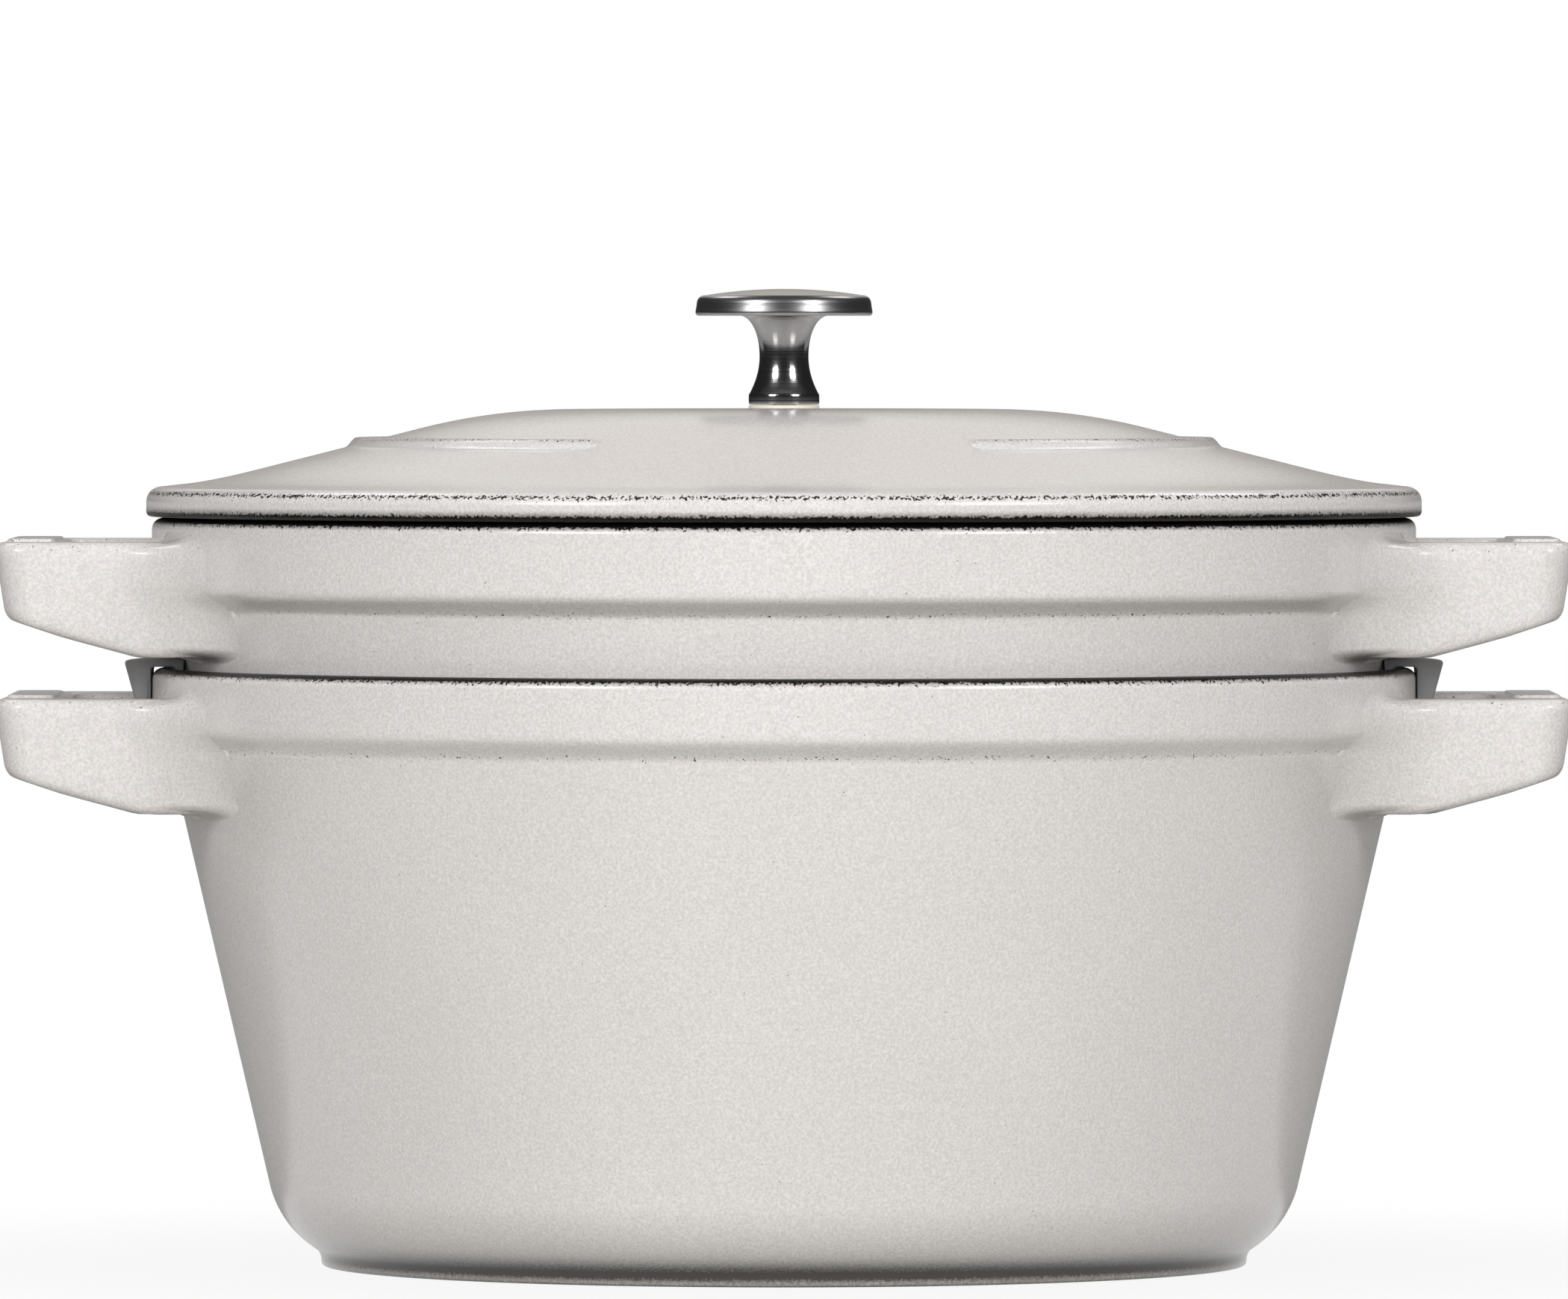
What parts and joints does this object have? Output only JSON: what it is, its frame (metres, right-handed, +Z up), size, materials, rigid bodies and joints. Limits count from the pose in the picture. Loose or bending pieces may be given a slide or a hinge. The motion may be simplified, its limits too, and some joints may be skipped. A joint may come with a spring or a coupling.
{
  "type": "stacking dutch oven set",
  "caption": "Enamelled cast-iron dutch oven with a nesting braiser on silicone rim clips and a domed lid with a turned steel knob, for cooking and stacked storage.",
  "frame": {"origin": "centre of the dutch oven's foot, on the surface that it stands on", "axes": "+X along the handles, -Y towards the viewer of the picture, +Z up"},
  "size_m": [0.3316, 0.2704, 0.207],
  "materials": {
    "vessel_enamel": "satin-gloss warm light grey enamel on cast iron, black matte enamel inside and on the rim",
    "lid_enamel": "satin-gloss warm light grey enamel on cast iron, black matte enamel underneath",
    "knob_steel": "turned and polished stainless steel",
    "fastener_steel": "plain stainless steel",
    "gasket_ring": "matte cream silicone",
    "clip_silicone": "matte mid-grey moulded silicone"
  },
  "bodies": {
    "dutch_oven": {"dutch_oven_pot": "vessel_enamel"},
    "left_clip": {"rim_clip_left": "clip_silicone"},
    "right_clip": {"rim_clip_right": "clip_silicone"},
    "braiser": {"braiser_pan": "vessel_enamel"},
    "lid": {"lid_cover": "lid_enamel", "lid_knob": "knob_steel", "knob_gasket": "gasket_ring", "knob_screw": "fastener_steel", "screw_washer": "fastener_steel"}
  },
  "joints": [
    {"name": "left_clip_lift", "type": "slide", "parent": "dutch_oven", "child": "left_clip", "axis": [0, 0, 1], "range_m": [0, 0.018]},
    {"name": "right_clip_lift", "type": "slide", "parent": "dutch_oven", "child": "right_clip", "axis": [0, 0, 1], "range_m": [0, 0.018]},
    {"name": "braiser_lift", "type": "slide", "parent": "left_clip", "child": "braiser", "axis": [0, 0, 1], "range_m": [0, 0.0224]},
    {"name": "lid_lift", "type": "slide", "parent": "braiser", "child": "lid", "axis": [0, 0, 1], "range_m": [0, 0.0205]}
  ],
  "couplings": [
    {"joint": "right_clip_lift", "follows": "left_clip_lift", "ratio": 1}
  ]
}
